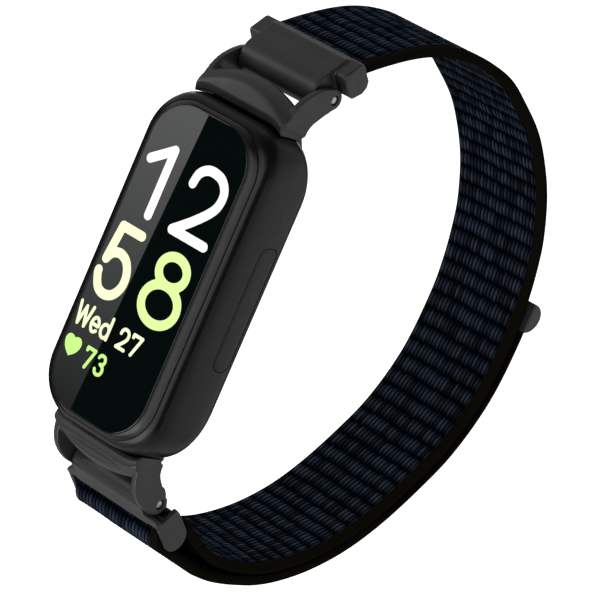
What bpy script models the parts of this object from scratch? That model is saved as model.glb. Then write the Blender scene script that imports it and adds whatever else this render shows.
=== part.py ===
"""Slim wrist tracker in a woven hook-and-loop band, one named object per piece.

Lengths below are millimetres. Each point is (x, d, z): x along the wrist, d back from the
display's rim plane, z towards twelve o'clock. make() turns them into metres in the row frame,
whose origin is the middle of the wrist loop.
"""
import math

import bpy
import bmesh

RIM_Y = -32.0          # the display's rim plane, from the middle of the loop

# tracker outline: half width, half length, corner radius at each depth
SHELL = [(0.05, 8.62, 19.15, 5.7), (0.9, 9.0, 19.5, 5.6), (2.4, 9.25, 19.65, 5.0),
         (5.2, 9.25, 19.65, 4.6), (7.0, 9.1, 19.25, 4.5), (8.4, 8.75, 18.3, 4.7),
         (9.4, 8.15, 17.1, 5.0), (9.95, 7.4, 16.0, 5.2)]
PIN = (9.2, 24.6)      # hinge pin, (d, |z|)
ARM_IN, ARM_OUT = 6.05, 6.8
RING_W = 7.65          # half width of the lower strap ring
STRAP_W = 13.8
STRAP_T = 1.2
LAYER = 1.45           # centre to centre of the doubled strap
STRAP_BAR = (5.4, -0.2)  # strap bar from the hinge pin, along and across the ring
BOT_U = (0.788, -0.6157)
BOT_N = (0.6157, 0.788)
BORE = (6.7, 18.3)     # quick-release bar, (d, |z|)
ANCHOR = (11.3, 28.39)   # steel pin through the strap's held end


# ---------------------------------------------------------------- helpers
def clear_scene():
    for obj in list(bpy.data.objects):
        bpy.data.objects.remove(obj, do_unlink=True)


def collection(name, hidden=False):
    made = bpy.data.collections.new(name)
    bpy.context.scene.collection.children.link(made)
    made.hide_render = hidden
    return made


def material(name, colour, rough, metal=0.0, alpha=1.0):
    mat = bpy.data.materials.new(name)
    mat.use_nodes = True
    node = mat.node_tree.nodes["Principled BSDF"]
    node.inputs["Base Color"].default_value = (*colour, 1.0)
    node.inputs["Roughness"].default_value = rough
    node.inputs["Metallic"].default_value = metal
    node.inputs["Alpha"].default_value = alpha
    return mat


def make(name, points, faces, look=None, cutter=False):
    mesh = bpy.data.meshes.new(name)
    mesh.from_pydata([(x / 1000, (d + RIM_Y) / 1000, z / 1000) for x, d, z in points], [], faces)
    work = bmesh.new()
    work.from_mesh(mesh)
    bmesh.ops.recalc_face_normals(work, faces=work.faces)
    work.to_mesh(mesh)
    work.free()
    obj = bpy.data.objects.new(name, mesh)
    (CUTTERS if cutter else PARTS).objects.link(obj)
    if cutter:
        obj.hide_render = True
        obj.display_type = "WIRE"
    elif look:
        mesh.materials.append(LOOKS[look])
    return obj


def loft(name, rings, look=None, cutter=False):
    """Closed solid through rings of equal length, capped flat at both ends."""
    size = len(rings[0])
    points = [p for ring in rings for p in ring]
    faces = []
    for k in range(len(rings) - 1):
        for i in range(size):
            j = (i + 1) % size
            faces.append((k * size + i, k * size + j, (k + 1) * size + j, (k + 1) * size + i))
    faces.append(tuple(range(size)))
    faces.append(tuple(range((len(rings) - 1) * size, len(rings) * size)))
    return make(name, points, faces, look, cutter)


def tube_loft(name, outer, inner, look):
    """Ring-shaped solid: outer rings then inner rings, joined at both ends."""
    rings = outer + inner[::-1]
    size = len(rings[0])
    points = [p for ring in rings for p in ring]
    faces = []
    for k in range(len(rings)):
        m = (k + 1) % len(rings)
        for i in range(size):
            j = (i + 1) % size
            faces.append((k * size + i, k * size + j, m * size + j, m * size + i))
    return make(name, points, faces, look)


def outline(half_w, half_l, radius, depth, corner=6):
    """Rounded rectangle in plan at one depth."""
    ring = []
    for cx, cz, start in ((1, 1, 0), (-1, 1, 90), (-1, -1, 180), (1, -1, 270)):
        for k in range(corner + 1):
            a = math.radians(start + 90 * k / corner)
            ring.append((cx * (half_w - radius) + radius * math.cos(a), depth,
                         cz * (half_l - radius) + radius * math.sin(a)))
    return ring


def prism(name, section, x0, x1, look=None, cutter=False):
    """(d, z) section pushed along x."""
    return loft(name, [[(x, d, z) for d, z in section] for x in (x0, x1)], look, cutter)


def rod(name, centre, steps, look=None, cutter=False, sides=20):
    """Turned piece along x: steps are (x, radius)."""
    rings = []
    for x, r in steps:
        rings.append([(x, centre[0] + r * math.cos(2 * math.pi * k / sides),
                       centre[1] + r * math.sin(2 * math.pi * k / sides)) for k in range(sides)])
    return loft(name, rings, look, cutter)


def disc(name, x, z, steps, look=None, cutter=False, sides=24):
    """Turned piece along the depth axis: steps are (depth, radius)."""
    rings = [[(x + r * math.cos(2 * math.pi * k / sides), d,
               z + r * math.sin(2 * math.pi * k / sides)) for k in range(sides)]
             for d, r in steps]
    return loft(name, rings, look, cutter)


def block(name, x, d, z, look=None, cutter=False):
    section = [(d[0], z[0]), (d[1], z[0]), (d[1], z[1]), (d[0], z[1])]
    return prism(name, section, x[0], x[1], look, cutter)


def boolean(obj, other, operation):
    mod = obj.modifiers.new(operation.lower(), "BOOLEAN")
    mod.operation = operation
    mod.solver = "EXACT"
    mod.object = other


def cut(obj, other):
    boolean(obj, other, "DIFFERENCE")


def add(obj, other):
    boolean(obj, other, "UNION")


def bevel(obj, width, angle=40, segments=1):
    mod = obj.modifiers.new("bevel", "BEVEL")
    mod.width = width / 1000
    mod.segments = segments
    mod.limit_method = "ANGLE"
    mod.angle_limit = math.radians(angle)
    mod.use_clamp_overlap = True


def smooth_line(points, steps):
    """Centripetal-free Catmull-Rom line through the points."""
    line = []
    pts = [points[0]] + list(points) + [points[-1]]
    for i in range(1, len(pts) - 2):
        a, b, c, e = pts[i - 1], pts[i], pts[i + 1], pts[i + 2]
        for k in range(steps):
            t = k / steps
            line.append(tuple(0.5 * (2 * b[m] + (c[m] - a[m]) * t
                                     + (2 * a[m] - 5 * b[m] + 4 * c[m] - e[m]) * t * t
                                     + (3 * b[m] - a[m] - 3 * c[m] + e[m]) * t ** 3)
                              for m in (0, 1)))
    line.append(tuple(points[-1]))
    return line


def normals(line):
    out = []
    for i in range(len(line)):
        a, b = line[max(i - 1, 0)], line[min(i + 1, len(line) - 1)]
        u, v = b[0] - a[0], b[1] - a[1]
        size = math.hypot(u, v)
        out.append((-v / size, u / size))
    return out


def ribbon(name, line, low, high, half_width, look):
    """Strap: the band between two offsets of the line, pushed across the width."""
    n = normals(line)
    section = [(p[0] + q[0] * high, p[1] + q[1] * high) for p, q in zip(line, n)]
    section += [(p[0] + q[0] * low, p[1] + q[1] * low) for p, q in zip(line[::-1], n[::-1])]
    return strip(name, section, len(line), half_width, look)


def strip(name, section, count, half_width, look):
    """Prism whose two side faces are quads across the section, not one long polygon."""
    size = len(section)
    points = [(x, d, z) for x in (-half_width, half_width) for d, z in section]
    faces = [(i, (i + 1) % size, size + (i + 1) % size, size + i) for i in range(size)]
    for i in range(count - 1):
        quad = (i, i + 1, size - 2 - i, size - 1 - i)
        faces.append(quad)
        faces.append(tuple(k + size for k in quad[::-1]))
    return make(name, points, faces, look)


# ---------------------------------------------------------------- tracker
def build_shell():
    outer = [outline(w, l, r, d) for d, w, l, r in SHELL]
    inner = [outline(8.34, 18.87, 5.42, 0.05), outline(8.34, 18.87, 5.42, 1.75),
             outline(7.6, 15.6, 4.4, 1.75), outline(7.6, 15.6, 4.4, 9.0),
             outline(6.95, 15.45, 4.9, 9.95)]
    shell = tube_loft("case_shell", outer, inner, "case")
    for sign, end in ((1, "top"), (-1, "bottom")):
        z = sorted((sign * 16.7, sign * 25.0))
        cut(shell, block("socket_" + end, (-6.2, 6.2), (5.0, 12.0), z, cutter=True))
        hole = (BORE[0], sign * BORE[1])
        cut(shell, rod("tip_hole_" + end, hole, [(-7.1, 0.46), (7.1, 0.46)], cutter=True, sides=12))
    for sign, side in ((1, "right"), (-1, "left")):
        cut(shell, key_prism("key_slot_" + side, sign, 7.0, 12.0, 0.18, cutter=True))


def key_prism(name, sign, x0, x1, grow, cutter=False, look=None):
    """Long rounded pad seen from the side: depth 4.5 to 7.9, z -7.4 to 7.4."""
    rings = []
    for x in (x0, x1):
        ring = []
        for cd, cz, start in ((1, 1, 0), (-1, 1, 90), (-1, -1, 180), (1, -1, 270)):
            for k in range(5):
                a = math.radians(start + 22.5 * k)
                r = 1.3 + grow
                ring.append((sign * x, 6.2 + cd * 0.4 + r * math.cos(a),
                             cz * 6.1 + r * math.sin(a)))
        rings.append(ring)
    return loft(name, rings, look, cutter)


def build_keys():
    for sign, side in ((1, "right"), (-1, "left")):
        key = key_prism("side_key_" + side, sign, 7.1, 9.12, 0.0, look="case")
        top = [(9.6, 4.0), (9.1, 6.9), (8.75, 8.3), (9.6, 8.3)]
        ring = [[(sign * x, d, z) for x, d in top] for z in (-9.0, 9.0)]
        cut(key, loft("key_face_" + side, ring, cutter=True))
        bevel(key, 0.15, 50)
        block("key_switch_" + side, sorted((sign * 5.8, sign * 6.7)), (5.6, 6.8), (-1.1, 1.1),
              "part")


def build_front():
    ring_out = [outline(8.16, 18.69, 5.3, 1.1), outline(8.2, 18.73, 5.34, -0.05),
                outline(8.02, 18.55, 5.2, -0.3)]
    ring_in = [outline(7.3, 17.75, 4.6, 1.1), outline(7.3, 17.75, 4.6, -0.32),
               outline(7.4, 17.85, 4.7, -0.38)]
    tube_loft("bezel_ring", ring_out, ring_in, "rim")
    glass = [outline(7.1, 17.55, 4.45, 1.0), outline(7.15, 17.6, 4.5, -0.25),
             outline(6.9, 17.35, 4.3, -0.42), outline(5.9, 16.3, 4.0, -0.6),
             outline(4.2, 14.4, 3.2, -0.78), outline(2.2, 12.0, 2.0, -0.86)]
    loft("cover_glass", glass, "glass")
    tube_loft("seal_gasket", [outline(8.1, 18.6, 5.2, 1.28), outline(8.1, 18.6, 5.2, 1.6)],
              [outline(7.35, 17.7, 4.6, 1.28), outline(7.35, 17.7, 4.6, 1.6)], "rubber")
    loft("display_panel", [outline(6.7, 15.3, 3.6, 1.2), outline(6.7, 15.3, 3.6, 2.3)], "panel")


def build_inside():
    board = loft("main_board", [outline(6.9, 15.0, 3.8, 2.8), outline(6.9, 15.0, 3.8, 3.6)],
                 "board")
    cut(board, disc("board_hole", 4.6, 12.2, [(2.0, 0.8), (5.0, 0.8)], cutter=True, sides=12))
    cell = block("battery_cell", (-5.2, 5.2), (4.1, 8.3), (-14.2, 2.6), "cell")
    bevel(cell, 0.6, 50)
    can = disc("motor_can", 0, 8.6, [(4.4, 4.1), (7.2, 4.1)], "steel")
    cut(can, disc("can_inside", 0, 8.6, [(3.0, 3.75), (6.8, 3.75)], cutter=True))
    cut(can, disc("can_hole", 0, 8.6, [(6.0, 0.42), (9.0, 0.42)], cutter=True, sides=12))
    disc("motor_shaft", 0, 8.6, [(4.2, 0.36), (7.15, 0.36)], "steel", sides=12)
    build_weight()


def build_weight():
    """Half-disc on the motor shaft; the off-centre mass is what shakes."""
    arc = [(3.3 * math.cos(a), 8.6 + 3.3 * math.sin(a))
           for a in [math.radians(t) for t in range(0, 181, 15)]]
    section = arc + [(-1.1, 8.6), (-0.9, 8.0), (-0.5, 7.55), (0.5, 7.55), (0.9, 8.0), (1.1, 8.6)]
    rings = [[(x, d, z) for x, z in section] for d in (4.9, 6.4)]
    weight = loft("motor_weight", rings, "brass")
    cut(weight, disc("weight_bore", 0, 8.6, [(4.0, 0.44), (8.0, 0.44)], cutter=True, sides=16))


def build_rear():
    rings = [outline(6.6, 15.1, 4.6, 9.3), outline(6.6, 15.1, 4.6, 10.0),
             outline(7.1, 15.6, 5.0, 10.25), outline(6.6, 15.1, 4.7, 10.6),
             outline(5.9, 14.4, 4.2, 10.75)]
    cover = loft("rear_cover", rings, "case")
    cut(cover, loft("window_hole", [outline(4.2, 5.2, 3.2, 8.0), outline(4.2, 5.2, 3.2, 12.0)],
                    cutter=True))
    for side, x in (("a", -2.2), ("b", 2.2)):
        cut(cover, disc("contact_hole_" + side, x, -11.0, [(8.0, 0.95), (12.0, 0.95)],
                        cutter=True, sides=16))
        disc("charge_contact_" + side, x, -11.0, [(9.35, 0.75), (10.7, 0.75), (10.82, 0.6)],
             "gold", sides=16)
    loft("sensor_window", [outline(3.95, 4.95, 3.0, 9.7), outline(3.95, 4.95, 3.0, 10.8),
                           outline(3.5, 4.5, 2.6, 11.15), outline(2.4, 3.4, 1.8, 11.35)], "window")
    loft("optical_sensor", [outline(2.6, 3.4, 0.8, 8.8), outline(2.6, 3.4, 0.8, 9.4)], "part")


# ---------------------------------------------------------------- connectors
def case_end(x):
    """How far the tracker's end reaches at one x."""
    over = max(abs(x) - 4.4, 0.0)
    return 15.05 + math.sqrt(max(4.6 ** 2 - over ** 2, 0.0))


def flip(section, sign):
    return [(d, sign * z) for d, z in section]


def build_yoke(end, sign):
    rings = []
    for x in (-6.75, -6.3, -5.4, -4.2, -2.4, 0.0, 2.4, 4.2, 5.4, 6.3, 6.75):
        base = case_end(x) + 0.3
        top = (23.75 - 0.034 * x * x) if sign > 0 else (23.1 - 0.03 * x * x)
        rings.append([(x, d, sign * z) for d, z in (
            (2.75, base), (2.45, base + 0.9), (2.75, top - 1.2), (3.5, top - 0.3),
            (4.5, top), (5.5, top - 0.5), (6.2, top - 1.9), (6.9, base - 0.25),
            (6.4, base - 0.15), (5.9, base - 0.05), (4.7, base))])
    yoke = loft(end + "_yoke", rings, "metal")
    arm = [(3.0, 20.3), (3.2, 21.6), (3.7, 22.8), (4.5, 23.85), (5.7, 24.8), (7.1, 25.5),
           (8.4, 25.8), (9.3, 25.8), (10.05, 25.4), (10.38, 24.65), (10.15, 23.95), (9.6, 23.5),
           (8.25, 22.3), (7.1, 21.0), (6.8, 19.75), (5.6, 19.95), (4.2, 20.1)]
    for side, x0, x1 in (("l", -ARM_OUT, -ARM_IN), ("r", ARM_IN, ARM_OUT)):
        piece = prism(f"{end}_arm_{side}", flip(arm, sign), x0, x1, cutter=True)
        bevel(piece, 0.2, 30)
        add(yoke, piece)
    tongue = [(5.3, 20.2), (5.3, 17.1), (8.4, 17.1), (8.4, 18.5), (7.6, 19.5), (6.5, 20.4)]
    add(yoke, prism(end + "_tongue", flip(tongue, sign), -5.9, 5.9, cutter=True))
    pin = (PIN[0], sign * PIN[1])
    bore = (BORE[0], sign * BORE[1])
    cut(yoke, rod(end + "_pin_hole", pin, [(-9, 0.62), (9, 0.62)], cutter=True, sides=20))
    cut(yoke, rod(end + "_bar_bore", bore, [(-9, 0.78), (9, 0.78)], cutter=True, sides=16))
    z = sorted((sign * (BORE[1] - 0.5), sign * (BORE[1] + 0.5)))
    cut(yoke, block(end + "_lever_slot", (2.2, 4.9), (BORE[0], 9.5), z, cutter=True))
    rod(end + "_hinge_pin", pin, [(-6.7, 0.4), (-6.55, 0.54), (6.55, 0.54), (6.7, 0.4)],
        "steel", sides=16)


def build_release(end, sign):
    bore = (BORE[0], sign * BORE[1])
    tube = rod(end + "_spring_bar", bore, [(-6.85, 0.36), (-5.75, 0.36), (-5.75, 0.68),
                                           (1.2, 0.68)], "steel", sides=16)
    cut(tube, rod(end + "_tube_bore", bore, [(-1.5, 0.5), (3.0, 0.5)], cutter=True, sides=16))
    slide = rod(end + "_release_slide", bore, [(2.3, 0.66), (5.1, 0.66), (5.1, 0.36),
                                               (6.85, 0.36)], "steel", sides=16)
    z = sorted((sign * (BORE[1] - 0.36), sign * (BORE[1] + 0.36)))
    add(slide, block(end + "_lever", (3.5, 4.5), (BORE[0], 9.1), z, cutter=True))
    spring(end + "_release_spring", bore)


def spring(name, centre):
    """Coil between the bar's blind bore and the slide."""
    turns, around, ring = 5, 10, 5
    coil, wire, x0, x1 = 0.34, 0.09, -1.3, 2.1
    rings = []
    total = turns * around
    for k in range(total + 1):
        a = 2 * math.pi * k / around
        x = x0 + (x1 - x0) * k / total
        rings.append([(x + wire * math.sin(2 * math.pi * m / ring),
                       centre[0] + (coil + wire * math.cos(2 * math.pi * m / ring)) * math.cos(a),
                       centre[1] + (coil + wire * math.cos(2 * math.pi * m / ring)) * math.sin(a))
                      for m in range(ring)])
    loft(name, rings, "steel")


def build_top_block():
    """Upper strap holder: barrel on the hinge pin, wide block that grips the strap's end."""
    narrow = [(6.9, 23.5), (6.5, 24.4), (6.42, 25.4), (6.8, 26.4), (9.75, 29.05), (11.0, 28.0),
              (11.1, 26.2), (10.95, 24.9), (10.5, 23.7), (9.6, 23.0), (8.2, 22.85)]
    wide = [(8.75, 27.0), (8.35, 27.5), (8.35, 28.0), (9.9, 29.35), (10.5, 29.5), (11.1, 29.4),
            (12.6, 27.8), (12.75, 27.0), (12.35, 26.3), (11.1, 25.65), (10.4, 25.75)]
    holder = prism("top_strap_block", narrow, 0.25 - ARM_IN, ARM_IN - 0.25, "metal")
    body = prism("top_wide", wide, -7.45, 7.45, cutter=True)
    bevel(body, 0.4, 60, 2)
    add(holder, body)
    slot = [(10.14, 28.68), (10.76, 27.32), (13.81, 28.71), (13.19, 30.07)]
    cut(holder, prism("top_slot", slot, -7.05, 7.05, cutter=True))
    cut(holder, rod("top_anchor_hole", ANCHOR, [(-7.2, 0.34), (7.2, 0.34)], cutter=True, sides=12))
    cut(holder, rod("top_barrel_bore", (PIN[0], PIN[1]), [(-9, 0.62), (9, 0.62)], cutter=True))
    rod("top_anchor_bar", ANCHOR, [(-7.12, 0.27), (7.12, 0.27)], "steel", sides=12)


def local(u, n):
    return (PIN[0] + u * BOT_U[0] + n * BOT_N[0], -PIN[1] + u * BOT_U[1] + n * BOT_N[1])


def build_bottom_ring():
    """Lower strap ring: barrel on the hinge pin, front plate, end plates and strap bar."""
    inside = ARM_IN - 0.25
    ring = rod("bottom_strap_ring", (PIN[0], -PIN[1]), [(-inside, 1.9), (inside, 1.9)], "metal")
    neck = [local(0, -1.88), local(2.1, -1.88), local(2.3, 1.3), local(0, 1.6)]
    add(ring, prism("bottom_neck", neck, -inside, inside, cutter=True))
    cross = [local(0.75, -1.84), local(2.1, -1.84), local(2.4, -0.6), local(2.4, 1.25),
             local(1.72, 1.25), local(1.72, -1.1), local(0.75, -1.4)]
    add(ring, prism("bottom_cross", cross, -RING_W, RING_W, cutter=True))
    u, n = STRAP_BAR
    for side, x0, x1 in (("l", -RING_W, -7.1), ("r", 7.1, RING_W)):
        plate = [local(1.78, -1.78), local(1.78, 1.32), local(2.6, 1.5)]
        plate += [local(u + 1.65 * math.sin(a), n + 1.65 * math.cos(a))
                  for a in [math.radians(t) for t in range(0, 181, 20)]]
        piece = prism(f"bottom_plate_{side}", plate, x0, x1, cutter=True)
        bevel(piece, 0.15, 60)
        add(ring, piece)
    add(ring, rod("bottom_bar", local(u, n), [(-7.4, 1.0), (7.4, 1.0)], cutter=True, sides=20))
    cut(ring, rod("bottom_barrel_bore", (PIN[0], -PIN[1]), [(-9, 0.62), (9, 0.62)], cutter=True))


# ---------------------------------------------------------------- strap
MAIN = [(15.1, 30.15), (19.0, 31.7), (22.8, 32.8), (27.0, 33.4), (31.8, 33.35), (38.6, 32.1),
        (43.8, 29.7), (48.6, 26.9), (52.5, 23.5), (55.7, 19.9), (58.4, 15.6), (59.9, 12.1),
        (61.3, 6.8), (61.8, 1.6), (61.2, -5.8), (58.7, -12.5), (55.2, -17.5), (50.2, -23.0),
        (45.0, -27.0), (38.7, -29.95), (31.7, -31.5), (24.4, -31.0), (20.4, -29.6),
        (17.5, -28.05)]


def build_strap():
    line = smooth_line(MAIN, 3)
    ribbon("main_strap", line, -STRAP_T / 2, STRAP_T / 2, STRAP_W / 2, "weave")
    start = smooth_line([(10.6, 28.07), (12.3, 28.85), (14.75, 29.95)], 3)
    end = ribbon("top_strap_end", start, -STRAP_T / 2, STRAP_T / 2, STRAP_W / 2, "weave")
    cut(end, rod("strap_end_hole", ANCHOR, [(-9, 0.34), (9, 0.34)], cutter=True, sides=12))
    build_fold()
    build_tail(line)


def build_fold():
    centre = local(*STRAP_BAR)
    r = 1.25 + STRAP_T / 2
    loop = [(centre[0] + r * math.cos(math.radians(t)), centre[1] + r * math.sin(math.radians(t)))
            for t in range(85, 251, 15)]
    line = [(17.15, -27.84), (15.4, -26.75)] + loop + [(14.6, -30.3), (17.2, -31.15)]
    ribbon("strap_fold", smooth_line(line, 2), -STRAP_T / 2, STRAP_T / 2, STRAP_W / 2, "weave")


def tail_line(line):
    """The tail follows the main strap from the fold round to the middle of the back."""
    out = [(18.5, -31.58), (20.4, -32.2)]
    for p, q in zip(line[::-1], normals(line)[::-1]):
        if p[1] < 5.0 and (p[0] > 23.0 or p[1] > 0):
            gap = LAYER + 0.08 * max(30.0 - p[0], 0.0)
            out.append((p[0] + q[0] * gap, p[1] + q[1] * gap))
    return out


def build_tail(main):
    line = tail_line(main)
    n = normals(line)
    thin = next(i for i, p in enumerate(line) if p[0] > 50 and p[1] > -23)
    half = STRAP_T / 2
    inner = [(p[0] + q[0] * (0.1 if i >= thin else half), p[1] + q[1] * (0.1 if i >= thin else half))
             for i, (p, q) in enumerate(zip(line, n))]
    outer = [(p[0] - q[0] * half, p[1] - q[1] * half) for p, q in zip(line, n)]
    strip("tail_strap", inner + outer[::-1], len(line), STRAP_W / 2, "weave")
    patch = [(p, q) for p, q in list(zip(line, n))[thin + 1:] if p[1] < 2.8]
    top = [(p[0] + q[0] * 0.65, p[1] + q[1] * 0.65) for p, q in patch]
    low = [(p[0] + q[0] * 0.25, p[1] + q[1] * 0.25) for p, q in patch]
    strip("hook_patch", top + low[::-1], len(patch), 6.2, "hook")
    bar = [(62.45, 3.7), (62.4, 6.7), (62.8, 7.15), (63.5, 7.2), (64.2, 6.85), (64.65, 6.1),
           (64.75, 5.0), (64.5, 4.0), (63.95, 3.45), (63.0, 3.3)]
    piece = prism("tail_end_bar", bar, -7.6, 7.6, "metal")
    bevel(piece, 0.35, 60, 2)
    cut(piece, block("tail_slot", (-7.05, 7.05), (63.05, 64.0), (2.0, 5.6), cutter=True))


def build():
    build_shell()
    build_keys()
    build_front()
    build_inside()
    build_rear()
    for end, sign in (("top", 1), ("bottom", -1)):
        build_yoke(end, sign)
        build_release(end, sign)
    build_top_block()
    build_bottom_ring()
    build_strap()


clear_scene()
PARTS = collection("fitness_tracker_band")
CUTTERS = collection("cutters", hidden=True)
LOOKS = {
    "case": material("case", (0.012, 0.012, 0.013), 0.38),
    "rim": material("rim", (0.05, 0.05, 0.052), 0.35),
    "glass": material("glass", (0.01, 0.013, 0.013), 0.06),
    "rubber": material("rubber", (0.02, 0.02, 0.02), 0.8),
    "panel": material("panel", (0.02, 0.03, 0.03), 0.3),
    "board": material("board", (0.02, 0.12, 0.05), 0.5),
    "cell": material("cell", (0.45, 0.45, 0.47), 0.35),
    "steel": material("steel", (0.6, 0.6, 0.62), 0.25, 1.0),
    "brass": material("brass", (0.55, 0.45, 0.25), 0.35, 1.0),
    "gold": material("gold", (0.8, 0.6, 0.25), 0.25, 1.0),
    "part": material("part", (0.03, 0.03, 0.032), 0.45),
    "window": material("window", (0.015, 0.015, 0.017), 0.1),
    "metal": material("metal", (0.055, 0.055, 0.058), 0.42),
    "weave": material("weave", (0.008, 0.01, 0.022), 0.9),
    "hook": material("hook", (0.01, 0.01, 0.012), 0.85),
}
build()
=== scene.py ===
"""Looks of a slim wrist tracker in a woven hook-and-loop band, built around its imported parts.

Pieces are modelled in millimetres as (x, d, z): x along the wrist, d back from the case's front
plane, z up. `raw` moves them to the middle of the loop, and `shown` turns them into metres and
seats them on their bodies.
"""
import math

import bmesh
import bpy
import numpy as np
from mathutils import Matrix, Vector


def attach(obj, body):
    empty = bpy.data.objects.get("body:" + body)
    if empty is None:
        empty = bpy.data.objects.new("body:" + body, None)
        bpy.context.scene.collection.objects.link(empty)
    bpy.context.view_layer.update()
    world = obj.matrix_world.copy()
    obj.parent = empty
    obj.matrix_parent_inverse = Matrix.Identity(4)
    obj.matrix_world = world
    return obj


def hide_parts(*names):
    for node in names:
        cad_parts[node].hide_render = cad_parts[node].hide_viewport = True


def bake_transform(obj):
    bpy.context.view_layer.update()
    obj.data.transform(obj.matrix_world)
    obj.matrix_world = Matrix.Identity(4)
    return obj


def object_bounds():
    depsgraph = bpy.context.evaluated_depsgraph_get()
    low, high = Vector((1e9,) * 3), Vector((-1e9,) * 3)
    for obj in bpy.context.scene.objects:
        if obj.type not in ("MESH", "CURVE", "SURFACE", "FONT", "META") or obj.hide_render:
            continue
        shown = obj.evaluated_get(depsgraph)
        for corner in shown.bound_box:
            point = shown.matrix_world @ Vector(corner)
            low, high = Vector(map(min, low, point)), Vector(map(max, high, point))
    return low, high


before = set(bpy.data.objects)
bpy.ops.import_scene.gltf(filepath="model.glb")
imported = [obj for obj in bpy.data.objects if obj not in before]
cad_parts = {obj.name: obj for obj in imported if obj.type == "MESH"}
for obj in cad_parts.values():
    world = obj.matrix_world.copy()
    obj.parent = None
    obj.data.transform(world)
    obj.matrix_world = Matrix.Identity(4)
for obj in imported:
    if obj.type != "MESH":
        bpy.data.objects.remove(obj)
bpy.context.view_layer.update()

RIM = -32.0                  # front plane of the case, from the middle of the loop
DISPLAY = (7.2, 18.3, 4.9)   # half width, half length and corner radius of the pane
RECESS = (8.26, 18.79, 5.38)   # the same of the case's front opening
PAD_MID, PAD_R = 6.2, 1.3    # side keys: middle depth and end radius
PIN = (9.2, 24.6)            # hinge pins (d, |z|)
PIN_HOLE = 0.62              # radius round a hinge pin
BORE = (6.7, 18.3)           # quick-release bars (d, |z|)
ARM_IN, ARM_OUT = 6.05, 6.8  # faces of the connector arms, from the middle
STRAP_T = 1.2                # thickness of the webbing
RIB, YARN = 2.2, 0.55        # pitch along and across the webbing
WOVEN = (-6.45, 5.75)        # the rest of the width is plain selvage


# ------------------------------------------------------------------ mesh helpers
def raw(name, points, faces):
    """Mesh object with its faces turned outward."""
    mesh = bpy.data.meshes.new(name)
    mesh.from_pydata([(x, d + RIM, z) for x, d, z in points], [], faces)
    work = bmesh.new()
    work.from_mesh(mesh)
    bmesh.ops.recalc_face_normals(work, faces=work.faces)
    work.to_mesh(mesh)
    work.free()
    obj = bpy.data.objects.new(name, mesh)
    bpy.context.scene.collection.objects.link(obj)
    return obj


def loft(name, rings):
    """Closed solid through rings of equal length, capped at both ends."""
    size = len(rings[0])
    points = [p for ring in rings for p in ring]
    faces = []
    for k in range(len(rings) - 1):
        for i in range(size):
            j = (i + 1) % size
            faces.append((k * size + i, k * size + j, (k + 1) * size + j, (k + 1) * size + i))
    faces.append(tuple(range(size)))
    faces.append(tuple(range((len(rings) - 1) * size, len(rings) * size)))
    return raw(name, points, faces)


def hollow_loft(name, rings):
    """Ring-shaped solid: the rings run down the outside and up the inside."""
    size = len(rings[0])
    points = [p for ring in rings for p in ring]
    faces = []
    for k in range(len(rings)):
        m = (k + 1) % len(rings)
        for i in range(size):
            j = (i + 1) % size
            faces.append((k * size + i, k * size + j, m * size + j, m * size + i))
    return raw(name, points, faces)


def rounded(half_u, half_v, radius, corner):
    """Rounded rectangle round the origin, as (u, v)."""
    line = []
    for su, sv, start in ((1, 1, 0), (-1, 1, 90), (-1, -1, 180), (1, -1, 270)):
        for k in range(corner + 1):
            a = math.radians(start + 90 * k / corner)
            line.append((su * (half_u - radius) + radius * math.cos(a),
                         sv * (half_v - radius) + radius * math.sin(a)))
    return line


def outline(half_w, half_l, radius, depth):
    """Rounded rectangle across the case at one depth."""
    return [(x, depth, z) for x, z in rounded(half_w, half_l, radius, 16)]


def spline(points, steps, closed=False):
    """Catmull-Rom line through points of any dimension."""
    pts = [np.array(p, float) for p in points]
    pts = [pts[-1], *pts, pts[0], pts[1]] if closed else [pts[0], *pts, pts[-1]]
    line = []
    for a, b, c, e in zip(pts, pts[1:], pts[2:], pts[3:]):
        for k in range(steps):
            t = k / steps
            line.append(0.5 * (2 * b + (c - a) * t + (2 * a - 5 * b + 4 * c - e) * t * t
                               + (3 * b - a - 3 * c + e) * t ** 3))
    if not closed:
        line.append(pts[-1])
    return line


def prism(name, section, x0, x1):
    """Section of (d, z) points carried from x0 to x1."""
    return loft(name, [[(x, d, z) for d, z in section] for x in (x0, x1)])


def circle(u, v, radius, sides):
    return [(u + radius * math.cos(2 * math.pi * k / sides),
             v + radius * math.sin(2 * math.pi * k / sides)) for k in range(sides)]


def rod(name, centre, steps):
    """Turned solid along x, from (x, radius) steps."""
    return loft(name, [[(x, d, z) for d, z in circle(*centre, r, 40)] for x, r in steps])


def disc(name, x, z, steps):
    """Turned solid along d, from (d, radius) steps."""
    return loft(name, [[(u, d, v) for u, v in circle(x, z, r, 48)] for d, r in steps])


def block(name, x, d, z):
    return prism(name, [(d[0], z[0]), (d[1], z[0]), (d[1], z[1]), (d[0], z[1])], *x)


def flip(section, sign):
    return [(d, sign * z) for d, z in section]


def baked(obj):
    """Applies the modifiers."""
    bpy.context.view_layer.update()
    graph = bpy.context.evaluated_depsgraph_get()
    mesh = bpy.data.meshes.new_from_object(obj.evaluated_get(graph))
    obj.modifiers.clear()
    old, obj.data = obj.data, mesh
    bpy.data.meshes.remove(old)
    return obj


def combine(obj, other, operation):
    mod = obj.modifiers.new(operation, "BOOLEAN")
    mod.operation, mod.solver, mod.object = operation, "EXACT", other
    baked(obj)
    bpy.data.objects.remove(other)


def cut(obj, *others):
    for other in others:
        combine(obj, other, "DIFFERENCE")


def bevelled(obj, width, angle, segments):
    mod = obj.modifiers.new("bevel", "BEVEL")
    mod.width, mod.segments, mod.limit_method = width, segments, "ANGLE"
    mod.angle_limit = math.radians(angle)
    return baked(obj)


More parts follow.
